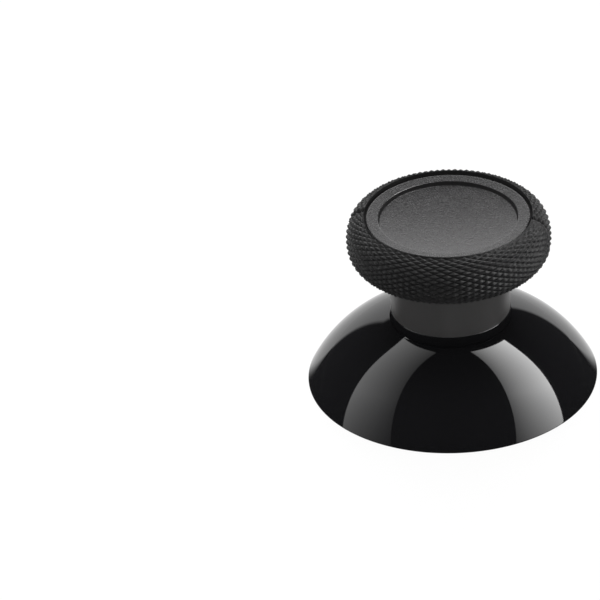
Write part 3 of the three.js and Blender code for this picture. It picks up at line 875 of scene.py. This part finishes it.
class SCENE_OT_cap_grip(Operator):
    """Knurled grip: a superellipse side sunk between the crests of a diamond lattice, ring, step and dish"""

    bl_idname = "scene.cap_grip"
    bl_label = "Knurled grip"

    def execute(self, context):
        skirt, grip, finish = context.scene.cap_skirt, context.scene.cap_grip, context.scene.cap_finish
        seat, head_top = head_heights(skirt, grip)[1:3]
        side, diamonds = self.side_outline(skirt, grip)
        knurl, crests, notch, diagonals = self.knurl(grip, side, diamonds)
        top, middle_height, on_wall = self.top_outline(skirt, grip, side[-1:])
        columns = knurl.shape[1]
        hidden = head_outline(skirt, seat, head_top, grip.inner_gap)[::-1]
        rows = np.concatenate([spun(supported(hidden), columns), knurl, spun(top, columns)])
        first, last = len(rows) - len(top) - len(knurl), len(rows) - len(top)
        turned = np.zeros((len(rows) - 1, columns), dtype=bool)
        turned[first:last - 1] = diagonals
        points, faces = skin(rows, (0, 0, head_top + grip.inner_gap), (0, 0, middle_height), turned)
        # Each point's crest share, from which the knurl's tone takes its painted light and shade.
        crest_shading = np.zeros(rows.shape[:2])
        crest_shading[first:last] = crests
        chosen = np.full((len(rows) - 1, columns), KNURL)
        # Faces in a seam's notch get the near-black seam rubber, painted shade in the notch.
        chosen[first:last, (notch + np.roll(notch, -1)) > SEAM_NOTCH] = SEAM_SHADE
        chosen[last - 1:] = np.where(on_wall, WALL, TOP)[:, None]
        poles = np.repeat([KNURL, TOP], columns)
        chosen = np.concatenate([chosen.ravel(), chosen.ravel(), poles]).tolist()
        wall = dull_material("dull_black_rubber", finish, finish.wall_colour)
        # The seam rubber is near-black: painted shade in the seams' notches.
        seam = dull_material("painted_seam_shade", finish, finish.seam_shade_colour)
        materials = knurl_material(finish), top_material(finish), wall, seam
        per_point = {"crest": np.append(crest_shading, [0, 0])}
        piece = make_object("knurled_grip_skin", points, faces, materials, per_point, chosen=chosen)
        piece.visible_glossy = False
        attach(piece, "root")
        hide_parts("knurled_grip")
        return {"FINISHED"}

    def side_outline(self, skirt, grip):
        """The side's crests at even lengths along it, a whole number of diamonds, and that number."""
        low = side_angle(grip, skirt, skirt.head_edge_diameter / 2, -1)
        high = side_angle(grip, skirt, grip.ring_diameter / 2 + grip.groove_width, 1)
        dense = side_point(grip, skirt, np.linspace(low, high, DENSE_POINTS))
        run = np.concatenate([[0], np.cumsum(np.linalg.norm(np.diff(dense, axis=0), axis=1))])
        diamonds = round(run[-1] / grip.diamond_height)
        even = np.linspace(0, run[-1], diamonds * grip.steps + 1)
        radius, height = (np.interp(even, run, dense[:, axis]) for axis in (0, 1))
        return np.stack([radius, height], axis=1), diamonds

    def knurl(self, grip, side, diamonds):
        """Rows of the side sunk between its crests, each point's crest, each column's notch, and diagonals.

        With u and v counting diamonds round and up, the zigzags |2 ((u + v) mod 1) - 1| and
        |2 ((u - v) mod 1) - 1| run from 0 in a valley to 1 on a crest. The smaller says how high a
        point is. A notch is cut at each seam, and the knurl gets shallower towards it by the share
        of its half of the grip. A diagonal is turned where it then follows the nearer valley.
        """
        columns = grip.diamonds_around * grip.steps
        along = np.gradient(side, axis=0)
        along /= np.linalg.norm(along, axis=1, keepdims=True)
        outward = np.stack([along[:, 1], -along[:, 0]], axis=1)
        v = np.linspace(0, diamonds, len(side))[:, None]
        u = (np.arange(columns) / grip.steps)[None, :]
        angle = np.arange(columns) / columns * 2 * np.pi
        crest = np.minimum(np.abs(2 * ((u + v) % 1) - 1), np.abs(2 * ((u - v) % 1) - 1))
        left = (np.pi - angle % np.pi) / grip.seam_fade
        kept = np.where(angle < np.pi, grip.back_share, grip.seam_share)
        depth = kept + (1 - kept) * step_up(left, SEAM_FLAT, 1)
        from_seam = np.abs((angle + np.pi / 2) % np.pi - np.pi / 2) * columns / (2 * np.pi)
        notch = np.clip(grip.seam_columns - from_seam, 0, 1)
        ends = step_up(np.minimum(v, diamonds - v), 0, END_FADE)
        sink = (grip.knurl_depth * depth * (1 - crest) + grip.seam_depth * notch) * ends
        radius, height = (side[:, axis, None] - outward[:, axis, None] * sink for axis in (0, 1))
        rows = np.stack([radius * np.cos(angle), radius * np.sin(angle), height], axis=2)
        # The crest share paints light on the crests and shade in the valleys, in the seam notches and at the
        # knurl's two ends.
        crests = (1 - (1 - crest) * depth) * ends * (1 - notch)
        v, u = (v[:-1] + v[1:]) / 2, u + 0.5 / grip.steps
        return rows, crests, notch, np.abs(np.cos(np.pi * (v + u))) < np.abs(np.cos(np.pi * (v - u)))

    def top_outline(self, skirt, grip, start):
        """Groove, ring, step and dish after the start, the dish's lowest height, and where a wall is."""
        ring_height = head_heights(skirt, grip)[4]
        floor, ring, dish = ring_height - grip.groove_depth, grip.ring_diameter / 2, grip.dish_diameter / 2
        groove, small, bottom = ring + grip.groove_width, grip.ring_round, dish - grip.dish_draft
        hollow = (bottom ** 2 + grip.dish_hollow ** 2) / (2 * grip.dish_hollow)
        middle_height = ring_height - grip.dish_step - grip.dish_hollow
        edge = math.asin(bottom / hollow)
        quarter = math.pi / 2
        arc_end = edge / DISH_STEPS - quarter
        top = joined(
            start, [[groove, floor], [ring, floor]],
            arc((ring - small, ring_height - small), small, 0, quarter, 4),
            arc((dish + small, ring_height - small - grip.ring_slope), small, quarter, 2 * quarter, 4),
            arc((0, middle_height + hollow), hollow, edge - quarter, arc_end, DISH_STEPS - 1),
        )
        top = supported(eased(top, 0.00007, corner=0.6, steps=3))[1:]
        slope = np.abs(np.gradient(top, axis=0))
        level = step_up(slope[:, 0] / slope.sum(axis=1), 0.3, 0.7)
        in_groove = (top[1:, 1] < floor + 0.00002) & (top[1:, 0] > dish)
        return top, middle_height, np.append([True], in_groove | (level[:-1] + level[1:] < 1.2))


def show(tree, surface):
    """Makes a shader node the material's surface."""
    tree.links.new(surface.outputs[0], tree.nodes["Material Output"].inputs["Surface"])


def glow_material(name):
    """A softbox's face: an even white light whose strength is the piece's own number at each point."""
    material, tree, shader = new_material(name)
    tree.nodes.remove(shader)
    show(tree, add(tree, "ShaderNodeEmission", {"Strength": point_value(tree, "brightness")}))
    return material


def softbox(name, studio, spin, outer_edge, inner_edge, top, outer, inner):
    """A flat softbox beside a leaning line L through the origin, which it faces from h away.

    Each place of it has an angle a about L, and lies s times its distance from L up L. An edge's angle
    is a quadratic in s, given as its angle at s = 0 and its two slopes. The upper end is given as s at
    the outer edge, at the inner edge and as a bulge between them. The light falls off towards the
    inner edge and towards the lower end.
    """
    lean, h, start = studio.box_lean, studio.box_distance, studio.box_start
    rows, columns = 33, 25
    long_way = np.array([0, math.cos(lean), math.sin(lean)])
    right = np.array([1.0, 0, 0])
    far = np.cross(long_way, right)
    part = np.linspace(0, 1, columns)[None, :]
    upper = top[0] + (top[1] - top[0]) * part + top[2] * part * (1 - part)
    s = start + (upper - start) * np.linspace(0, 1, rows)[:, None]
    edges = outer_edge, inner_edge
    first, second = (np.radians(edge[0] + edge[1] * s + edge[2] * s ** 2) for edge in edges)
    middle = math.radians(outer_edge[0] + inner_edge[0]) / 2
    angle = first + (second - first) * part - middle
    toward = math.cos(middle) * right + math.sin(middle) * far
    width = -math.sin(middle) * right + math.cos(middle) * far
    along = h * s / np.cos(angle)
    points = toward * h + along[..., None] * long_way + (h * np.tan(angle))[..., None] * width
    points = points.reshape(-1, 3) @ spin.T
    corner = np.arange(rows - 1)[:, None] * columns + np.arange(columns - 1)
    faces = np.stack([corner, corner + 1, corner + columns + 1, corner + columns], axis=-1)
    lower = studio.low_share + (1 - studio.low_share) * np.clip((s - start) / studio.low_reach, 0, 1)
    brightness = ((outer + (inner - outer) * part) * lower).ravel()
    faces, glow = faces.reshape(-1, 4).tolist(), glow_material(name)
    box = make_object(name, points, faces, [glow], {"brightness": brightness}, smooth=False)
    box.visible_camera = box.visible_diffuse = False


def seen_directly(tree):
    """Socket that is 1 for rays from the camera, from a reflection or through glass, and 0 otherwise."""
    path = add(tree, "ShaderNodeLightPath").outputs
    either = calculated(tree, "MAXIMUM", path["Is Camera Ray"], path["Is Glossy Ray"])
    return calculated(tree, "MAXIMUM", either, path["Is Transmission Ray"])


def floor_material():
    """White floor: a diffuse share that keeps the cap's shadow, and an even white where it is seen."""
    material, tree, shader = new_material("white_floor")
    set_inputs(tree, shader, {"Base Color": (0.9, 0.9, 0.9), "Roughness": 1.0, "Specular IOR Level": 0.0})
    white = add(tree, "ShaderNodeEmission", {"Strength": FLOOR_GLOW})
    even_share = calculated(tree, "MULTIPLY", seen_directly(tree), FLOOR_SHARE)
    show(tree, add(tree, "ShaderNodeMixShader", {0: even_share, 1: shader.outputs[0], 2: white.outputs[0]}))
    return material


def flag_material(name, directions, offset, softness):
    """Black cloth that is open where the place's part along every direction is over minus the offset.

    The smallest of those parts is stepped smoothly over the softness into how open the cloth is.
    """
    material, tree, shader = new_material(name)
    tree.nodes.remove(shader)
    place = add(tree, "ShaderNodeTexCoord").outputs["Object"]
    least, *others = (
        add(tree, "ShaderNodeVectorMath", {0: place, 1: direction}, operation="DOT_PRODUCT").outputs["Value"]
        for direction in directions
    )
    for part in others:
        least = calculated(tree, "MINIMUM", least, part)
    step = {0: least, 1: -softness - offset, 2: softness - offset}
    opening = add(tree, "ShaderNodeMapRange", step, interpolation_type="SMOOTHSTEP").outputs[0]
    cloth = add(tree, "ShaderNodeEmission", {"Color": (1, 1, 1), "Strength": CLOTH_GLOW}).outputs[0]
    clear = add(tree, "ShaderNodeBsdfTransparent").outputs[0]
    show(tree, add(tree, "ShaderNodeMixShader", {0: opening, 1: cloth, 2: clear}))
    return material


def only_in_reflections(item):
    """Hides a black flag from the camera and from all light but reflections."""
    item.visible_camera = item.visible_diffuse = item.visible_shadow = item.visible_transmission = False


class SCENE_OT_cap_stage(Operator):
    """Floor, softboxes, black flags, world and camera"""

    bl_idname = "scene.cap_stage"
    bl_label = "Studio"

    def execute(self, context):
        scene = context.scene
        studio = scene.cap_studio
        spin = np.array(Matrix.Rotation(studio.heading, 3, "Z"))
        self.sheet("floor", 4.0, 0.0, floor_material())
        self.light(studio, spin)
        self.flags(spin)
        self.world(scene, studio)
        self.camera(scene, studio)
        scene.view_settings.view_transform = "Standard"
        return {"FINISHED"}

    def sheet(self, name, reach, height, material):
        """A level square that reaches the given length from the origin along each axis."""
        corners = [[x * reach, y * reach, height] for x, y in ((-1, -1), (1, -1), (1, 1), (-1, 1))]
        return make_object(name, corners, [[0, 1, 2, 3]], [material], smooth=False)

    def light(self, studio, spin):
        """The two softboxes whose reflections run down the dome, and four lamps that no surface mirrors."""
        for name, place, side, power in (
            ("overhead_lamp", (0.0, 0.35, 1.0), 0.9, studio.overhead_power),
            ("left_lamp", (-0.98, -0.17, 0.17), 0.6, studio.left_power),
            ("right_lamp", (0.98, -0.17, 0.17), 0.6, studio.right_power),
            ("rear_lamp", (0.0, 0.95, 0.35), 0.6, studio.rear_power),
        ):
            lamp = bpy.data.lights.new(name, "AREA")
            lamp.shape, lamp.size, lamp.energy = "SQUARE", side, power
            holder = bpy.data.objects.new(name, lamp)
            holder.location = spin @ np.array(place)
            holder.rotation_euler = (-Vector(holder.location)).to_track_quat("-Z", "Y").to_euler()
            holder.visible_glossy = holder.visible_camera = False
            bpy.context.scene.collection.objects.link(holder)
        right = studio.right_outer_edge, studio.right_inner_edge, studio.right_top
        left = studio.left_outer_edge, studio.left_inner_edge, studio.left_top
        softbox("right_softbox", studio, spin, *right, studio.right_outer, studio.right_inner)
        softbox("left_softbox", studio, spin, *left, studio.left_outer, studio.left_inner)

    def flags(self, spin):
        """A black tent with an opening behind the cap, and a black card on the floor on each side."""
        size, columns = 2.5, 48
        up = np.linspace(0, np.pi / 2, 17)[:-1, None]
        around = np.linspace(0, 2 * np.pi, columns, endpoint=False)[None, :]
        level, height = np.cos(up) * size, np.sin(up) * size
        rows = np.stack([level * np.cos(around), level * np.sin(around), height + 0 * around], axis=2)
        points, faces = skin(rows, (0, 0, 0), (0, 0, size))
        open_below = faces[:-2 * columns] + faces[-columns:]
        opening, gap = (
            [tuple(spin @ np.array(direction)) for direction in directions]
            for directions in (TENT_OPENING, CARD_OPENING)
        )
        cloth = flag_material("black_tent", opening, 0.0, TENT_SOFTNESS)
        only_in_reflections(make_object("black_tent", points, open_below, [cloth], smooth=False))
        cards = flag_material("black_cards", gap, CARD_OFFSET, CARD_SOFTNESS)
        only_in_reflections(self.sheet("black_cards", 1.0, 0.00005, cards))

    def world(self, scene, studio):
        """White where it is seen or reflected, and an even grey light otherwise."""
        world = bpy.data.worlds.new("studio")
        world.use_nodes = True
        tree = world.node_tree
        strength = mix_value(tree, seen_directly(tree), studio.ambient, 1.0)
        set_inputs(tree, tree.nodes["Background"], {"Color": (1, 1, 1), "Strength": strength})
        scene.world = world

    def camera(self, scene, studio):
        """The camera looks at the origin, rolls, then turns so that the origin falls beside the middle."""
        e, roll = studio.elevation, studio.roll
        right, up = Vector((1, 0, 0)), Vector((0, math.sin(e), math.cos(e)))
        back = Vector((0, -math.cos(e), math.sin(e)))
        across = math.cos(roll) * right - math.sin(roll) * up
        upward = math.sin(roll) * right + math.cos(roll) * up
        facing = Matrix((across, upward, back)).transposed()
        ahead = Vector((studio.aim_across, studio.aim_up, -1))
        aim = Vector((0, 0, -1)).rotation_difference(ahead).to_matrix()
        heading = Matrix.Rotation(studio.heading, 3, "Z")
        pose = (heading @ facing @ aim.inverted()).to_4x4()
        pose.translation = heading @ (back * studio.distance)
        lens = bpy.data.cameras.new("camera")
        lens.lens = studio.lens
        lens.sensor_width = 36
        lens.clip_start, lens.clip_end = 0.01, 20
        camera = bpy.data.objects.new("camera", lens)
        camera.matrix_world = pose
        scene.collection.objects.link(camera)
        scene.camera = camera


class VIEW3D_PT_thumbstick_cap(Panel):
    """Buttons for the cap's pieces and its studio"""

    bl_label = "Thumbstick Cap"
    bl_space_type = "VIEW_3D"
    bl_region_type = "UI"
    bl_category = "Thumbstick Cap"

    def draw(self, context):
        for operator in OPERATORS:
            self.layout.operator(operator.bl_idname)


OPERATORS = (SCENE_OT_cap_skirt, SCENE_OT_cap_boss, SCENE_OT_cap_arms, SCENE_OT_cap_grip, SCENE_OT_cap_stage)
SETTINGS = {
    "cap_skirt": SkirtSizes,
    "cap_grip": GripSizes,
    "cap_boss": BossSizes,
    "cap_finish": Finishes,
    "cap_studio": StudioSettings,
}


def register():
    for settings in SETTINGS.values():
        bpy.utils.register_class(settings)
    for name, settings in SETTINGS.items():
        setattr(bpy.types.Scene, name, PointerProperty(type=settings))
    for operator in OPERATORS:
        bpy.utils.register_class(operator)
    bpy.utils.register_class(VIEW3D_PT_thumbstick_cap)


def unregister():
    bpy.utils.unregister_class(VIEW3D_PT_thumbstick_cap)
    for operator in reversed(OPERATORS):
        bpy.utils.unregister_class(operator)
    for name in SETTINGS:
        delattr(bpy.types.Scene, name)
    for settings in reversed(SETTINGS.values()):
        bpy.utils.unregister_class(settings)


def main():
    """Builds the cap and its studio."""
    register()
    bpy.ops.scene.cap_skirt()
    bpy.ops.scene.cap_boss()
    bpy.ops.scene.cap_arms()
    bpy.ops.scene.cap_grip()
    bpy.ops.scene.cap_stage()


if __name__ == "__main__":
    main()
